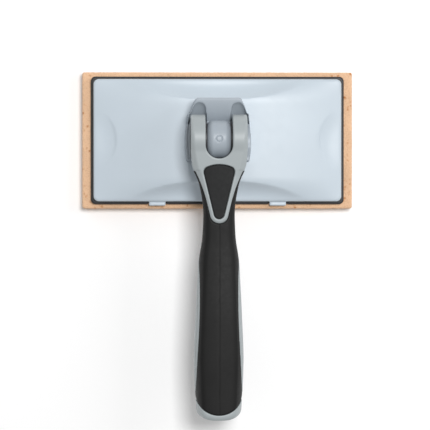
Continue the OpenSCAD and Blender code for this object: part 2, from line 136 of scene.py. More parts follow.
def net_points(value, axes, cell):
    """One point in each grid cell that the surface passes through."""
    inside = value < 0
    size = [len(a) - 1 for a in axes]
    total = sum(inside[i:i + size[0], j:j + size[1], k:k + size[2]].astype(np.int8)
                for i, j, k in CORNERS)
    active = (total > 0) & (total < 8)
    cells = np.argwhere(active)
    index = np.full(size, -1)
    index[active] = np.arange(len(cells))
    corner = np.stack([value[cells[:, 0] + i, cells[:, 1] + j, cells[:, 2] + k]
                       for i, j, k in CORNERS], 1)
    place = np.array(CORNERS, float)
    point = np.zeros((len(cells), 3))
    count = np.zeros(len(cells))
    for a, b in EDGES:
        cross = (corner[:, a] < 0) != (corner[:, b] < 0)
        share = corner[cross, a] / (corner[cross, a] - corner[cross, b])
        point[cross] += place[a] + share[:, None] * (place[b] - place[a])
        count[cross] += 1
    start = np.array([a[0] for a in axes])
    return start + cell * (cells + point / count[:, None]), index, inside


def net_faces(index, inside):
    """Quads between the cells around each grid edge that the surface crosses."""
    faces = []
    for axis in range(3):
        others = [d for d in range(3) if d != axis]
        low = [slice(None)] * 3
        high = [slice(None)] * 3
        low[axis] = slice(0, -1)
        high[axis] = slice(1, None)
        edge = np.argwhere(inside[tuple(low)] != inside[tuple(high)])
        leaves = inside[tuple(low)][tuple(edge.T)]
        ring = []
        for du, dv in ((-1, -1), (0, -1), (0, 0), (-1, 0)):
            cell = edge.copy()
            cell[:, others[0]] += du
            cell[:, others[1]] += dv
            ring.append(index[tuple(cell.T)])
        quad = np.stack(ring, 1)
        forward = leaves if axis != 1 else ~leaves
        quad[~forward] = quad[~forward][:, ::-1]
        faces.append(quad)
    return np.concatenate(faces)


def settle(points, field, cell):
    """Moves points onto the surface."""
    for _ in range(SETTLE_STEPS):
        value = field(*points.T)
        slope = np.stack([
            (field(*(points + step).T) - field(*(points - step).T)) / (2 * PROBE)
            for step in np.eye(3) * PROBE], 1)
        length = np.maximum((slope ** 2).sum(1), 1e-3)
        move = slope * (value / length)[:, None]
        points = points - np.clip(move, -cell / 2, cell / 2)
    return points


def field_object(name, field, low, high, cell, origin=(0, 0, 0)):
    """Closed mesh of the surface where field is zero, inside the box from low to high."""
    axes = [np.arange(lo - 2 * cell, hi + 3 * cell, cell) for lo, hi in zip(low, high)]
    value = field(*np.meshgrid(*axes, indexing="ij"))
    points, index, inside = net_points(value, axes, cell)
    faces = net_faces(index, inside)
    return make_object(name, settle(points, field, cell), faces.tolist(), origin)


# ---------- materials ----------

class Nodes:
    """Short names for building a material's nodes."""

    def __init__(self, name):
        self.material = bpy.data.materials.new(name)
        self.material.use_nodes = True
        self.tree = self.material.node_tree
        self.shader = self.tree.nodes["Principled BSDF"]
        self.place = self.tree.nodes.new("ShaderNodeTexCoord").outputs["Object"]

    def new(self, kind, inputs=None, **settings):
        node = self.tree.nodes.new(kind)
        for key, value in settings.items():
            setattr(node, key, value)
        for key, value in (inputs or {}).items():
            if isinstance(value, bpy.types.NodeSocket):
                self.tree.links.new(value, node.inputs[key])
            else:
                node.inputs[key].default_value = value
        return node

    def link(self, output, socket):
        self.tree.links.new(output, self.shader.inputs[socket])

    def noise(self, scale, detail=2.0, roughness=0.5):
        return self.new("ShaderNodeTexNoise", {"Vector": self.place, "Scale": scale,
                                               "Detail": detail, "Roughness": roughness})

    def ramp(self, source, stops):
        node = self.new("ShaderNodeValToRGB", {"Fac": source})
        band = node.color_ramp
        while len(band.elements) < len(stops):
            band.elements.new(0.5)
        for element, (at, colour) in zip(band.elements, stops):
            element.position = at
            element.color = (*colour, 1)
        return node.outputs["Color"]

    def bump(self, height, strength, distance, normal=None):
        inputs = {"Height": height, "Strength": strength, "Distance": distance}
        if normal is not None:
            inputs["Normal"] = normal
        return self.new("ShaderNodeBump", inputs).outputs["Normal"]


def grey_level(value):
    return (value, value, value)


def shade(colour, factor):
    return tuple(min(1.0, c * factor) for c in colour)


def moulded_plastic(name, colour, roughness=0.42, grain=0.12, specular=0.45):
    """Satin injection-moulded plastic with a fine spark-eroded grain."""
    n = Nodes(name)
    drift = n.noise(38, 3)
    tint = n.ramp(drift.outputs["Fac"], [(0.3, shade(colour, 0.985)), (0.7, shade(colour, 1.015))])
    n.link(tint, "Base Color")
    polish = n.noise(210, 2)
    rough = n.ramp(polish.outputs["Fac"], [(0.35, grey_level(roughness - 0.015)),
                                           (0.65, grey_level(roughness + 0.02))])
    n.link(rough, "Roughness")
    n.shader.inputs["Specular IOR Level"].default_value = specular
    fine = n.noise(2600, 2)
    n.link(n.bump(fine.outputs["Fac"], grain, 0.00012), "Normal")
    return n.material


def soft_rubber(name, colour, roughness=0.55, grain=0.35):
    """Moulded soft rubber: matte, with a leathery micro texture."""
    n = Nodes(name)
    drift = n.noise(55, 4, 0.6)
    tint = n.ramp(drift.outputs["Fac"], [(0.3, shade(colour, 0.92)), (0.7, shade(colour, 1.1))])
    n.link(tint, "Base Color")
    polish = n.noise(420, 3)
    rough = n.ramp(polish.outputs["Fac"], [(0.3, grey_level(roughness - 0.04)),
                                           (0.7, grey_level(roughness + 0.05))])
    n.link(rough, "Roughness")
    n.shader.inputs["Specular IOR Level"].default_value = 0.16
    pebble = n.new("ShaderNodeTexVoronoi", {"Vector": n.place, "Scale": 1500.0})
    fine = n.noise(3200, 2)
    first = n.bump(pebble.outputs["Distance"], grain, 0.00008)
    n.link(n.bump(fine.outputs["Fac"], grain * 0.6, 0.00006, first), "Normal")
    return n.material


def foam_material():
    """Open-cell foam: tan skin with orange-brown specks, and painted shade in its pores."""
    n = Nodes("foam_pad_mat")
    base = (0.82, 0.53, 0.335)
    cloud = n.noise(42, 4, 0.6)
    tone = n.ramp(cloud.outputs["Fac"], [(0.3, shade(base, 0.9)), (0.7, shade(base, 1.1))])
    speck_place = n.new("ShaderNodeTexVoronoi", {"Vector": n.place, "Scale": 330.0,
                                                 "Randomness": 1.0})
    speck_pick = n.noise(120, 3, 0.7)
    speck_size = n.ramp(speck_place.outputs["Distance"],
                        [(0.12, grey_level(1)), (0.42, grey_level(0))])
    speck_here = n.ramp(speck_pick.outputs["Fac"], [(0.5, grey_level(0)), (0.62, grey_level(1))])
    speck = n.new("ShaderNodeMath", {0: speck_size, 1: speck_here}, operation="MULTIPLY")
    brown = n.new("ShaderNodeMix", {"Factor": speck.outputs["Value"], "A": tone,
                                    "B": (0.52, 0.2, 0.065, 1)}, data_type="RGBA")
    pores = n.new("ShaderNodeTexVoronoi", {"Vector": n.place, "Scale": 1100.0})
    # painted shade: the colour darkens towards the middle of each pore, where the bump below sinks the surface
    pore_shade_mask = n.ramp(pores.outputs["Distance"], [(0.0, grey_level(0.72)), (0.38, grey_level(1))])
    colour = n.new("ShaderNodeMix", {"Factor": 1.0, "A": brown.outputs["Result"], "B": pore_shade_mask},
                   data_type="RGBA", blend_type="MULTIPLY")
    n.link(colour.outputs["Result"], "Base Color")
    n.shader.inputs["Roughness"].default_value = 0.92
    n.shader.inputs["Specular IOR Level"].default_value = 0.18
    n.shader.inputs["Sheen Weight"].default_value = 0.15
    n.link(n.bump(pores.outputs["Distance"], 0.7, 0.0005), "Normal")
    return n.material


def metal(name, colour, roughness):
    """Zinc-plated steel with a slightly uneven polish."""
    n = Nodes(name)
    n.shader.inputs["Metallic"].default_value = 1.0
    drift = n.noise(700, 3)
    n.link(n.ramp(drift.outputs["Fac"], [(0.3, shade(colour, 0.88)), (0.7, shade(colour, 1.08))]),
           "Base Color")
    n.link(n.ramp(drift.outputs["Fac"], [(0.3, grey_level(roughness)),
                                         (0.7, grey_level(roughness + 0.15))]), "Roughness")
    n.link(n.bump(drift.outputs["Fac"], 0.15, 0.00005), "Normal")
    return n.material


PLATE_GREY = (0.53, 0.60, 0.66)
HINGE_GREY = (0.36, 0.405, 0.45)
FORK_GREY = (0.355, 0.39, 0.4)
MATERIALS = {
    "foam": foam_material(),
    "carrier_black": moulded_plastic("carrier_mat", (0.018, 0.018, 0.02), 0.5, 0.25),
    "plate_grey": moulded_plastic("plate_mat", PLATE_GREY, 0.38),
    "hinge_grey": moulded_plastic("hinge_mat", HINGE_GREY, 0.4),
    "fork_grey": moulded_plastic("fork_mat", FORK_GREY, 0.4),
    "core_grey": moulded_plastic("core_mat", (0.3, 0.33, 0.34), 0.5),
    "inlay_charcoal": soft_rubber("inlay_mat", (0.017, 0.0175, 0.018), 0.6, 0.45),
    "grip_black": soft_rubber("grip_mat", (0.0125, 0.0125, 0.0125), 0.5),
    "button_black": moulded_plastic("button_mat", (0.015, 0.015, 0.016), 0.3, 0.15, 0.5),
    "nylon": moulded_plastic("nylon_mat", (0.035, 0.035, 0.038), 0.45),
    "steel": metal("steel_mat", (0.6, 0.61, 0.63), 0.25),
    "socket_black": moulded_plastic("socket_mat", (0.03, 0.03, 0.032), 0.45, 0.2),
}


def finish_piece(piece, body, slot, replaced):
    """Gives a new piece its material and its body, and hides the CAD node that it stands for."""
    piece.data.materials.append(MATERIALS[slot])
    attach(piece, body)
    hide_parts(replaced)


def dress_cad_nodes():
    """Gives each CAD node its slot's material."""
    for part in frame["record"]["subparts"]:
        node = frame["nodes"][part["node"]]
        node.data.materials.clear()
        node.data.materials.append(MATERIALS[part["material_slot"]])


# ---------- pad and carrier ----------

LEDGE_H = 3.2
RIM_H = 3.3
TAB_X = 40


def rounded_box_points(half, r, pitch):
    """Faces of a box with rounded edges, cut into a grid. Returns points, faces and normals."""
    points, faces = [], []
    seen = {}
    for axis in range(3):
        u, v = [d for d in range(3) if d != axis]
        count = [max(2, round(2 * half[d] / pitch)) for d in (u, v)]
        for side in (-1, 1):
            ids = np.zeros((count[0] + 1, count[1] + 1), int)
            for i in range(count[0] + 1):
                for j in range(count[1] + 1):
                    key = [0, 0, 0]
                    key[axis] = side * half[axis]
                    key[u] = -half[u] + 2 * half[u] * i / count[0]
                    key[v] = -half[v] + 2 * half[v] * j / count[1]
                    tag = tuple(round(k, 3) for k in key)
                    if tag not in seen:
                        seen[tag] = len(points)
                        points.append(key)
                    ids[i, j] = seen[tag]
            quads = np.stack([ids[:-1, :-1], ids[1:, :-1], ids[1:, 1:], ids[:-1, 1:]], -1)
            quads = quads.reshape(-1, 4)
            outward = (side > 0) == (axis != 1)
            faces += (quads if outward else quads[:, ::-1]).tolist()
    points = np.array(points, float)
    core = np.clip(points, -np.array(half) + r, np.array(half) - r)
    away = points - core
    normals = away / np.maximum(np.linalg.norm(away, axis=1), 1e-6)[:, None]
    return core + normals * r, faces, normals


def build_foam():
    """Foam pad with rounded edges and a finely pored surface."""
    low, high = node_box("foam_pad")
    middle = (low + high) / 2
    half = (high - low) / 2
    points, faces, normals = rounded_box_points(half, 1.6, 1.1)
    pore_depth = 0.32
    for i, (p, n) in enumerate(zip(points, normals)):
        pores = noise.noise(Vector(p) * 0.85) + 0.6 * noise.noise(Vector(p) * 2.1)
        points[i] = p - n * pore_depth * (0.5 + 0.5 * pores)
    foam = make_object("foam_block", points, faces, middle)
    finish_piece(foam, "head", "foam", "foam_pad")


def build_carrier():
    """Black tray between foam and plate: a flange, a raised lip and notches for the snap tabs."""
    high = node_box("pad_carrier")[1]
    plate_high = node_box("top_plate")[1]
    foam_top = node_box("foam_pad")[1][2]
    half_x, half_y = high[0], high[1]
    lip_top = high[2] - foam_top
    lip_half = (plate_high[0] - 2.3, half_y - 4.1)
    hollow_half = (plate_high[0] - 4, half_y - 5.8)
    hollow_floor = 1.6
    notch_half, notch_depth = 6, 0.8

    def field(x, y, z):
        flange = blend_max(rounded_rect(x, y, half_x, half_y, 3), slab(z, 0, LEDGE_H), 0.9)
        notch = np.maximum(slab(np.abs(x), TAB_X - notch_half, TAB_X + notch_half),
                           y + half_y - notch_depth)
        lip = blend_max(rounded_rect(x, y, *lip_half, 2), slab(z, 1, lip_top), 0.6)
        tray = np.minimum(flange, lip)
        hollow = np.maximum(rounded_rect(x, y, *hollow_half, 1), hollow_floor - z)
        return blend_max(np.maximum(tray, -hollow), -notch, 0.4)

    carrier = field_object("carrier_tray", field, (-half_x, -half_y, 0),
                           (half_x, half_y, lip_top), 0.7, (0, 0, foam_top))
    finish_piece(carrier, "head", "carrier_black", "pad_carrier")


# ---------- plate ----------

def plate_height(x, y, rim, hub):
    """Height of the plate's top: ridges from hub to corners, with a scoop on each side."""
    half_x, half_y = 82.2, 40.5
    flat_x, flat_y = 22, 24
    rise = hub - rim
    ux = np.clip((np.abs(x) - flat_x) / (half_x - flat_x), 0, 1)
    uy = np.clip((np.abs(y) - flat_y) / (half_y - flat_y), 0, 1)
    dome = rim + rise * (1 - ux ** 1.7) * (1 - 0.75 * uy ** 2.2)
    side_r, end_r = 250.0, 34.0
    side_reach, end_reach = 13.5, 22.0
    side = np.hypot(x, np.abs(y) - (half_y - side_reach + side_r)) - side_r
    end = np.hypot(np.abs(x) - (half_x - end_reach + end_r), y) - end_r
    side_depth = np.clip(-side / side_reach, 0, 1)
    end_depth = np.clip(-end / end_reach, 0, 1)
    side_floor = rim + 0.3 + rise * 0.93 * (1 - side_depth) ** 2.8
    end_floor = rim + 0.2 + rise * 0.72 * (1 - end_depth) ** 2.6
    step_shift, step_r, step_h = 11, 26, 0.9
    step = np.hypot(np.abs(x) - (half_x + step_shift), y) - step_r
    end_floor = end_floor + step_h / (1 + np.exp(-step * 3))
    top = np.where(side < 0, blend_min(dome, side_floor, 0.8), dome)
    return np.where(end < 0, blend_min(top, end_floor, 0.8), top)


def build_plate():
    """Scooped plate, hollow and ribbed below, with two snap tabs on its front edge."""
    high = node_box("top_plate")[1]
    carrier_top = node_box("foam_pad")[1][2] + LEDGE_H
    rim = carrier_top + RIM_H
    hub = node_box("hinge_base")[0][2] + 0.15
    wall = 2.0
    half_x, half_y = high[0], high[1]
    front = -43.6
    rib_pitch, rib_half, rib_clear = 24, 0.8, 2.4
    tab_half = 5.5
    drop_y, arm_y = 42.5, 41.2

    def field(x, y, z):
        border = rounded_rect(x, y, half_x, half_y, 3.5)
        top = plate_height(x, y, rim, hub)
        skin = blend_max(border, (z - top) * 0.9, 1.6)
        inner = np.maximum(rounded_rect(x, y, half_x - wall, half_y - wall, 2), z - top + wall)
        nearest = rib_pitch * np.clip(np.round(x / rib_pitch), -3, 3)
        ribs = np.minimum(np.abs(x - nearest), np.abs(y)) - rib_half
        hollow = np.maximum(inner, np.minimum(-ribs, z - carrier_top - rib_clear))
        shell = np.maximum(np.maximum(skin, -hollow), carrier_top + 0.05 - z)
        tab_side = np.abs(np.abs(x) - TAB_X) - tab_half
        drop = rounded_rect(y + drop_y, z - carrier_top + 0.3, 0.75, 2.2, 0.5)
        arm = rounded_rect(y + arm_y, z - carrier_top - 0.9, 2.1, 0.75, 0.5)
        tab = blend_max(np.minimum(drop, arm), tab_side, 0.8)
        return blend_min(shell, tab, 0.5)

    plate = field_object("scooped_plate", field, (-half_x, front, 10.4),
                         (half_x, half_y, hub + 1), 0.7)
    finish_piece(plate, "head", "plate_grey", "top_plate")


# ---------- hinge base ----------

def build_hinge_base():
    """Pedestal with hollow back corners, and the barrel that sits between the fork's ears."""
    low, high = node_box("hinge_base")
    bottom = low[2] - PIVOT[2]
    front, back = low[1], high[1]
    barrel_r, barrel_half = 12.3, 7.85
    side_r, side_half, side_mid = 62.8, 21.5, -2.0
    ear_r = 17.0
    web_half = 8.25
    pocket_back, pocket_wall = 25.6, 0.5
    cheek_in, ear_wall = 18.5, 19.7
    button_clear = 13.4
    neck_start, neck_end = 6, 16.6
    crest_top, crest_fall, crest_run = -0.5, 5.7, 15
    ramp_y, ramp_top, ramp_slope = 12, -6.2, 0.378
    flare_out, flare_fade, flare_h = 0.6, 0.8, 6
    block_front, block_back, block_top = -7.2, 11, -2
    crown_start, crown_slope = 5.0, 0.85
    ring_r, ring_half, ring_depth = 1.95, 0.32, 0.55
    spline_end, spring_seat = 1.4, 3.6
    spring_room_r, axle_room_r = 5.3, 2.56

    def field(x, y, z):
        ax = np.abs(x)
        radius = np.hypot(y, z)
        border = np.hypot(ax + side_r - side_half, y - side_mid) - side_r
        border = blend_min(border, np.maximum(ax - ear_wall, slab(y, neck_start, neck_end)), 1.5)
        border = blend_max(border, slab(y, front, back), 1.2)
        crest = crest_top - crest_fall * (np.clip(back - y, 0, crest_run) / crest_run) ** 1.7
        ramp = 0.9 * (z - np.where(y > ramp_y, crest, ramp_top - ramp_slope * (ramp_y - y)))
        wedge = blend_max(border, ramp, 1.0)
        flare = blend_max(border - flare_out * np.exp(-(z - bottom) / flare_fade),
                          slab(z, bottom, bottom + flare_h), 0.6)
        solid = np.maximum(np.minimum(wedge, flare), bottom - z)
        hollow_plan = blend_max(blend_max(y - pocket_back, web_half - ax, 7.0),
                                border + pocket_wall, 4.0)
        hollow_floor = -half_plane(y, z, (12.0, -12.0), (pocket_back, -1.2))
        hollow = blend_max(np.maximum(hollow_plan, 10 - y), hollow_floor, 3.0)
        ear_room = np.maximum(radius - ear_r, slab(ax, web_half - 0.4, cheek_in))
        solid = blend_max(solid, -blend_min(hollow, ear_room, 1.0), 0.5)
        solid = blend_max(solid, -np.maximum(radius - button_clear, cheek_in - 0.6 - ax), 0.8)
        block = np.maximum(np.maximum(ax - barrel_half, slab(y, block_front, block_back)),
                           slab(z, bottom, block_top))
        solid = blend_min(solid, block, 0.6)
        crown = crown_slope * blend_max(ax - crown_start, 0, 1.6)
        barrel = blend_max(radius - barrel_r + crown, ax - barrel_half, 1.2)
        solid = blend_min(solid, barrel, 0.5)
        spot = np.hypot(x, y)
        ring = np.maximum(np.abs(spot - ring_r) - ring_half, barrel_r - ring_depth - z)
        solid = blend_max(solid, -ring, 0.25)
        spline = np.maximum(teeth(y, z, 7.6, 9.0, 2.9, 2.2), x - spline_end)
        spring_room = np.maximum(radius - spring_room_r, x - spring_seat)
        axle_hole = radius - axle_room_r
        for hole in (spline, spring_room, axle_hole):
            solid = np.maximum(solid, -hole)
        return solid

    base = field_object("pedestal_and_barrel", field, (-22.8, front - 2, bottom),
                        (22.8, back + 2, 12.5), 0.36, PIVOT)
    finish_piece(base, "head", "hinge_grey", "hinge_base")


# ---------- fork ----------

EAR_R = 16.0
EAR_IN = 8.8
TONGUE_TOP = 11.9
TONGUE_BOTTOM = 9.2
# outlines from above, as (s, half width)
FORK_WIDTH = [(-20, 18.3), (8, 18.3), (13, 17.9), (17, 17.4), (20.2, 16.4), (21.2, 15),
              (25, 13)]
# width of the bevel along the fork's edge, as (s, width)
BEVEL_WIDTH = [(-16, 0.7), (3, 2.2), (17, 3.4), (24, 2.6), (36, 1.5), (56, 1.4)]
INLAY_TOP = (37.2, 20.7)


def tapered_tip(x, s, end, r, slope):
    """Wedge that narrows by the slope and ends in a round tip."""
    ax = np.abs(x)
    long = math.hypot(1, slope)
    ds = s - (end - r)
    side = (ax + slope * ds) / long - r
    return np.where(ds > slope * ax, np.hypot(ax, ds) - r, side)


def tongue_outline(x, s):
    """Outline of the fork's V-shaped tongue."""
    shoulder = (np.abs(x) - 10.6 + 0.46 * (s - 30.9)) / 1.1
    return blend_min(np.maximum(shoulder, s - 40), tapered_tip(x, s, 54.5, 5.9, 0.235), 2.0)


def inlay_outline(x, s):
    """Outline of the shield-shaped thumb inlay."""
    top = np.hypot(x, s - INLAY_TOP[0]) - INLAY_TOP[1]
    return blend_max(tapered_tip(x, s, 51.7, 3.5, 0.245), top, 3.2)


def build_fork():
    """Two ears around the barrel, a bevelled tongue on the neck and a hidden tang below it."""
    slot_mid = 3.85
    barrel_room_r = 12.8
    button_room_r, button_floor = 12.95, -12.15
    window_right = -3
    axle_r, axle_end = 2.5, 15
    tang_half, tang_end = 5.2, 48
    tang_low, tang_high = 3.5, 7.3
    skirt_low, skirt_half = 6.5, 0.9
    inlay_depth = 1.5

    def field(x, y, z):
        s = -y
        ax = np.abs(x)
        radius = np.hypot(y, z)
        top_line = half_plane(s, z, (6.8, 14.45), (26, 11.6))
        bottom_line = half_plane(s, z, (24, -1.0), (8.2, -13.7))
        arm = np.maximum(np.maximum(top_line, bottom_line), slab(s, 4, 24))
        profile = blend_min(radius - EAR_R, arm, 0.6)
        plan = outline(x, s, FORK_WIDTH)
        bevel = np.interp(s, *zip(*BEVEL_WIDTH))
        body = blend_max(profile, plan, 0.7)
        body = blend_max(body, 0.8 * (profile + 0.75 * (bevel + plan)), 0.5)
        border = tongue_outline(x, s)
        lid = z - np.maximum(TONGUE_TOP + 0.149 * (24 - s), TONGUE_TOP)
        tongue = blend_max(blend_max(border, 16 - s, 0.5), np.maximum(TONGUE_BOTTOM - z, lid), 0.6)
        tongue = blend_max(tongue, 0.8 * (lid + 0.75 * (bevel + border)), 0.5)
        skirt = np.maximum(np.abs(border + skirt_half) - skirt_half,
                           slab(z, skirt_low, TONGUE_BOTTOM + 0.5))
        skirt = np.maximum(skirt, 20 - s)
        solid = np.minimum(np.minimum(body, tongue), skirt)
        tang = np.maximum(np.maximum(ax - tang_half, slab(z, tang_low, tang_high)),
                          slab(s, 20, tang_end))
        solid = np.minimum(solid, tang)
        slot = np.where(s < slot_mid, ax - EAR_IN, np.hypot(x, s - slot_mid) - EAR_IN)
        solid = blend_max(solid, -slot, 0.9)
        solid = np.maximum(solid, -np.maximum(radius - barrel_room_r, ax - EAR_IN))
        recess = np.maximum(radius - button_room_r, x - button_floor)
        solid = blend_max(solid, -recess, 0.6)
        window = np.maximum(teeth(y, z, 9.05, 10.4, 3.1, 2.4), x - window_right)
        solid = np.maximum(solid, -window)
        solid = np.maximum(solid, -np.maximum(radius - axle_r, slab(x, 0, axle_end)))
        pocket = np.maximum(inlay_outline(x, s) - 0.15, TONGUE_TOP - inlay_depth - z)
        return blend_max(solid, -pocket, 0.45)

    fork = field_object("fork_moulding", field, (-19, -55.5, -16.5), (19, 16.5, 16.5), 0.42, PIVOT)
    finish_piece(fork, "handle", "fork_grey", "hinge_fork")


def build_thumb_inlay():
    """Soft dark inlay inside the tongue, slightly crowned."""
    def field(x, y, z):
        s = -y
        crown = z - (TONGUE_TOP + 0.25 - 0.006 * x ** 2)
        body = blend_max(inlay_outline(x, s) + 0.12, crown, 0.9)
        return np.maximum(body, TONGUE_TOP - 1.4 - z)

    inlay = field_object("thumb_pad", field, (-11.5, -53, TONGUE_TOP - 1.6),
                         (11.5, -16, TONGUE_TOP + 0.6), 0.35, PIVOT)
    finish_piece(inlay, "handle", "inlay_charcoal", "thumb_inlay")


# ---------- grip ----------

# s, half width, half thickness, height of the middle
GRIP = np.array([
    (18, 17.4, 6.7, 4.9),
    (20, 16.8, 6.6, 5.0),
    (24, 14.9, 6.2, 5.2),
    (28, 13.3, 6.0, 5.4),
    (33, 12.1, 5.7, 5.6),
    (45, 10.35, 5.8, 5.5),
    (56, 10.4, 6.8, 4.5),
    (66, 11.1, 8.0, 3.0),
    (76, 12.7, 9.6, 1.6),
    (92, 13.8, 12.0, 0),
    (115, 15.0, 13.8, -1.0),
    (144, 16.0, 14.0, -1.5),
    (160, 15.5, 13.6, -1.5),
    (172, 14.9, 13.3, -1.5),
    (186, 14.2, 12.8, -1.5),
])
AXIS_DROP = -1.5
HANDLE_END = 182.4
# arc between sleeve and end cap: s of its middle, radius
CAP_ARC = (162.4, 16.05)
END_ARC_R = 30.0
# side inlays: s of their middle, half length, half height
LENS = (120.0, 44.5, 9.3)
INSERT_R = 10.8
CORE_TUBE_R = 12.1
# hollow for the core, as (s, half width)
CORE_WIDTH = [(20, 8.1), (50, 7.7), (74, 9.5), (110, 10.6), (153, 10.6)]
# least wall left between the sleeve's hollow and its skin
LEAST_WALL = 0.9


def smooth_table():
    """Fine table of the grip's stations, joined by a smooth curve."""
    at = GRIP[:, 0]
    slopes = np.gradient(GRIP[:, 1:], at, axis=0)
    fine = np.arange(at[0], at[-1], 0.5)
    i = np.clip(np.searchsorted(at, fine, "right") - 1, 0, len(at) - 2)
    h = (at[i + 1] - at[i])[:, None]
    t = ((fine - at[i])[:, None]) / h
    values = ((2 * t ** 3 - 3 * t ** 2 + 1) * GRIP[i, 1:]
              + (t ** 3 - 2 * t ** 2 + t) * h * slopes[i]
              + (3 * t ** 2 - 2 * t ** 3) * GRIP[i + 1, 1:] + (t ** 3 - t ** 2) * h * slopes[i + 1])
    return fine, values


GRIP_S, GRIP_VALUES = smooth_table()


def grip_field(x, s, z, grow=0.0):
    """Skin of the grip: an oval section with a slightly crowned front and back."""
    a, b, c = (np.interp(s, GRIP_S, GRIP_VALUES[:, i]) for i in range(3))
    a, b = a + grow, b + grow
    tall = 1.25 * b
    q = np.hypot(x / a, (z - c) / tall)
    oval = (q - 1) * a * 0.9
    crown = np.abs(z - c) - 0.97 * b + x ** 2 / 120
    return blend_max(oval, crown, 1.1)


def lens_field(s, z):
    """Side outline of the grey inlays."""
    mid, half, height = LENS
    u = np.clip(1 - ((s - mid) / half) ** 2, 0, 1)
    edge = height * u ** 0.52
    beyond = np.maximum(np.abs(s - mid) - half, 0)
    return (np.abs(z - AXIS_DROP) - edge) * 0.93 + beyond


def cap_side(x, s):
    """Negative before the curved joint between sleeve and end cap."""
    arc = np.hypot(x, s - CAP_ARC[0]) - CAP_ARC[1]
    return np.where(s < CAP_ARC[0], s - CAP_ARC[0] - CAP_ARC[1], arc)


def core_space(x, s, z):
    """Hollow inside the sleeve for the hard core."""
    box_end, tube_start = 153, 142.9
    width = outline(x, s, CORE_WIDTH)
    top = z - np.interp(s, [54, 62, 92, 110, 153], [9.35, 8.65, 8.1, 8.5, 8.5])
    bottom = np.interp(s, [24, 56, 92, 110, 153], [1.9, 0.5, -8.1, -10.5, -11.1]) - z
    box = np.maximum(blend_max(width, blend_max(top, bottom, 3), 5), slab(s, 0, box_end))
    tube = np.maximum(np.hypot(x, z - AXIS_DROP) - CORE_TUBE_R, tube_start - s)
    return np.minimum(box, tube)


def build_sleeve():
    """Soft sleeve with a fine mould seam, openings for the side inlays and room for the tongue."""
    sleeve_start = 20.4
    fork_gap, fork_end = 0.9, 24.15
    seam_depth, seam_half = 0.22, 0.35

    def field(x, y, z):
        s = -y
        skin = grip_field(x, s, z)
        seam = seam_depth * np.exp(-(x / seam_half) ** 2)
        skin = skin + np.where(z > 0, seam, 0)
        solid = blend_max(skin, sleeve_start - s, 0.3)
        solid = np.maximum(solid, -np.maximum(outline(x, s, FORK_WIDTH) + fork_gap, s - fork_end))
        solid = blend_max(solid, cap_side(x, s) + 0.12, 0.6)
        solid = blend_max(solid, -np.maximum(lens_field(s, z) - 0.15, 6 - np.abs(x)), 0.5)
        tongue = np.maximum(tongue_outline(x, s) - 0.15, TONGUE_BOTTOM - 0.05 - z)
        solid = blend_max(solid, -tongue, 0.8)
        hollow = np.maximum(core_space(x, s, z), skin + LEAST_WALL)
        return np.maximum(solid, -hollow)

    sleeve = field_object("soft_sleeve", field, (-17.2, -180, -16), (17.2, -20.2, 13.5), 0.5,
                          PIVOT)
    finish_piece(sleeve, "handle", "grip_black", "grip_sleeve")


def build_side_inlay(side, name, node):
    """Lens-shaped inlay in one side of the grip, with a fine groove inside its edge."""
    inner, outer = 10.8, 16.8
    groove_in, groove_half = 2.4, 0.22

    def field(x, y, z):
        s = -y
        proud = grip_field(x, s, z, 0.15)
        lens = lens_field(s, z)
        solid = blend_max(proud, lens, 0.7)
        groove = np.abs(lens + groove_in) - groove_half
        cut = np.maximum(groove, -grip_field(x, s, z, -0.2))
        solid = blend_max(solid, -cut, 0.2)
        return np.maximum(solid, inner - side * x)

    near = 10.6
    low = (near if side > 0 else -outer, -168.5, -11.5)
    high = (outer if side > 0 else -near, -75.5, 8.5)
    inlay = field_object(name, field, low, high, 0.4, PIVOT)
    finish_piece(inlay, "handle", "fork_grey", node)


def build_end_cap():
    """End cap with a curved edge against the sleeve and an opening for the pole socket."""
    lip_end = 177.6

    def field(x, y, z):
        s = -y
        end = np.hypot(x, s - HANDLE_END + END_ARC_R) - END_ARC_R
        solid = blend_max(grip_field(x, s, z), end, 3.2)
        solid = blend_max(solid, 0.1 - cap_side(x, s), 0.5)
        lip = np.hypot(x, z - AXIS_DROP)
        solid = blend_max(solid, INSERT_R + 0.05 - lip, 0.8)
        return np.maximum(solid, -np.maximum(lip - CORE_TUBE_R, s - lip_end))

    cap = field_object("end_cap_shell", field, (-16, -183, -16.5), (16, -162, 13), 0.42, PIVOT)
    finish_piece(cap, "handle", "fork_grey", "end_cap")


def build_pole_socket():
    """Insert in the handle's end, with an inside thread of five turns per inch."""
    pitch = 5.08
    bore, groove = 7.9, 1.6
    first, last = 148.0, 180.0

    def field(x, y, z):
        s = -y
        w = z - AXIS_DROP
        radius = np.hypot(x, w)
        turn = np.arctan2(w, x) / (2 * math.pi)
        phase = np.abs((s / pitch + turn) % 1.0 - 0.5) * 2
        flank = np.clip((phase - 0.42) / 0.2, 0, 1)
        thread = radius - (bore + groove * flank)
        mouth = radius - (bore + groove + 1.2 * (s - last + 1.4))
        hole = np.maximum(np.minimum(thread * 0.8, mouth * 0.7), first + 3 - s)
        outer = blend_max(radius - (INSERT_R - 0.02), slab(s, first, last), 0.5)
        return blend_max(outer, -hole, 0.3)

    socket = field_object("threaded_insert", field, (-11, -180.2, -12.6), (11, -147.8, 9.6), 0.36,
                          PIVOT)
    finish_piece(socket, "handle", "socket_black", "pole_socket")


# ---------- button and lock ----------

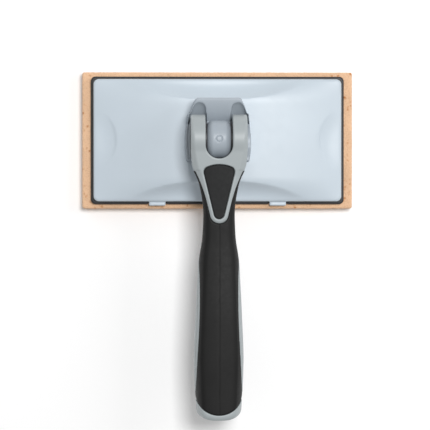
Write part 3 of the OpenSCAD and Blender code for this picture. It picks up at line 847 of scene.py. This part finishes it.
def build_button():
    """Domed button with a fine ring on its face, a hollow skirt and a stem to the dog."""
    low, high = node_box("lock_button")
    apex = low[0]
    button_r = (high[2] - low[2]) / 2
    dome_h = 1.4
    dome_r = (button_r ** 2 + dome_h ** 2) / (2 * dome_h)
    skirt_end, skirt_room_r, cap_inside = -16, 11.2, -17.9
    mark_r, mark_half, mark_depth = 8.2, 0.3, 0.62
    stem_r, stem_bore_r = 6.8, 5.3
    stem_start, stem_end = -18.3, -11.05

    def field(x, y, z):
        radius = np.hypot(y, z)
        dome = np.hypot(np.hypot(x - apex - dome_r, y), z) - dome_r
        cap = blend_max(blend_max(radius - button_r, dome, 0.9), x - skirt_end, 0.4)
        mark = np.maximum(np.abs(radius - mark_r) - mark_half, x - apex - mark_depth)
        cap = blend_max(cap, -mark, 0.3)
        cap = np.maximum(cap, -np.maximum(radius - skirt_room_r, cap_inside - x))
        stem = np.maximum(np.maximum(radius - stem_r, stem_bore_r - radius),
                          slab(x, stem_start, stem_end))
        return np.minimum(cap, stem)

    button = field_object("domed_button", field, (apex, -12.9, -12.9), (-11, 12.9, 12.9), 0.34,
                          PIVOT)
    finish_piece(button, "button", "button_black", "lock_button")


def build_spring():
    """Coil spring behind the dog, with closed ends."""
    low, high = node_box("return_spring")
    wire = 0.45
    mean = (high[2] - low[2]) / 2 - wire
    turns, per_turn, sides = 6, 32, 10
    closed = 0.12
    start, end = low[0] + wire, high[0] - wire
    count = turns * per_turn
    rings = []
    for i in range(count + 1):
        t = i / count
        ease = np.clip((t - closed) / (1 - 2 * closed), 0, 1)
        x = start + (end - start) * ease
        a = 2 * math.pi * i / per_turn
        ring = [(x + wire * math.sin(b), (mean + wire * math.cos(b)) * math.cos(a),
                 (mean + wire * math.cos(b)) * math.sin(a))
                for b in np.linspace(0, 2 * math.pi, sides, endpoint=False)]
        rings.append(ring)
    points = np.array(rings).reshape(-1, 3)
    faces = [[r * sides + k, r * sides + (k + 1) % sides, (r + 1) * sides + (k + 1) % sides,
              (r + 1) * sides + k] for r in range(count) for k in range(sides)]
    faces += [list(range(sides))[::-1], [count * sides + k for k in range(sides)]]
    spring = make_object("coil_spring", points, faces, (0, 0, PIVOT[2]))
    finish_piece(spring, "head", "steel", "return_spring")
    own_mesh(spring)


# ---------- studio ----------

def build_studio():
    """Plain pale floor and soft light."""
    floor = bpy.data.meshes.new("floor")
    half = 3.0
    floor.from_pydata([(-half, -half, 0), (half, -half, 0), (half, half, 0), (-half, half, 0)], [],
                      [(0, 1, 2, 3)])
    ground = bpy.data.objects.new("studio_floor", floor)
    bpy.context.scene.collection.objects.link(ground)
    n = Nodes("floor_mat")
    n.shader.inputs["Base Color"].default_value = (1, 1, 1, 1)
    n.shader.inputs["Roughness"].default_value = 0.95
    n.shader.inputs["Specular IOR Level"].default_value = 0.1
    floor.materials.append(n.material)

    world = bpy.context.scene.world or bpy.data.worlds.new("studio")
    bpy.context.scene.world = world
    world.use_nodes = True
    world.node_tree.nodes["Background"].inputs["Color"].default_value = (1, 1, 1, 1)
    world.node_tree.nodes["Background"].inputs["Strength"].default_value = 0.36

    middle = Vector((0, -0.07, 0.03))
    lights = [
        ("key", (0.28, 0.3, 1.75), 0.5, 20.0),
        ("fill", (0.95, 0.2, 0.75), 0.5, 2.5),
        ("rim", (-0.8, 0.6, 0.6), 0.5, 1.2),
    ]
    for name, place, size, power in lights:
        data = bpy.data.lights.new(name, "AREA")
        data.size = size
        data.energy = power
        lamp = bpy.data.objects.new(name, data)
        lamp.location = place
        lamp.rotation_euler = aim(Vector(place), middle)
        bpy.context.scene.collection.objects.link(lamp)


def aim(place, target):
    """Rotation that looks at the target with the picture's top towards +Y."""
    back = (place - target).normalized()
    right = Vector((0, 1, 0)).cross(back).normalized()
    up = back.cross(right)
    return Matrix((right, up, back)).transposed().to_euler()


def build_camera():
    """Camera high above the tool, looking almost straight down."""
    data = bpy.data.cameras.new("camera")
    data.sensor_width = 36
    data.lens = 175.6
    data.clip_start = 0.01
    camera = bpy.data.objects.new("camera", data)
    place = Vector((-0.0361, -0.0333, 1.406))
    look = Vector((-0.0016, -0.0496, 0.01))
    camera.location = place
    camera.rotation_euler = aim(place, look)
    bpy.context.scene.collection.objects.link(camera)
    bpy.context.scene.camera = camera


def set_colours():
    """Plain colour management, so that the materials' colours are kept."""
    view = bpy.context.scene.view_settings
    view.view_transform = "Standard"
    view.look = "None"


build_camera()
build_studio()
set_colours()
dress_cad_nodes()
build_foam()
build_carrier()
build_plate()
build_hinge_base()
build_fork()
build_thumb_inlay()
build_sleeve()
build_side_inlay(-1, "side_panel_left", "side_inlay_left")
build_side_inlay(1, "side_panel_right", "side_inlay_right")
build_end_cap()
build_pole_socket()
build_button()
build_spring()
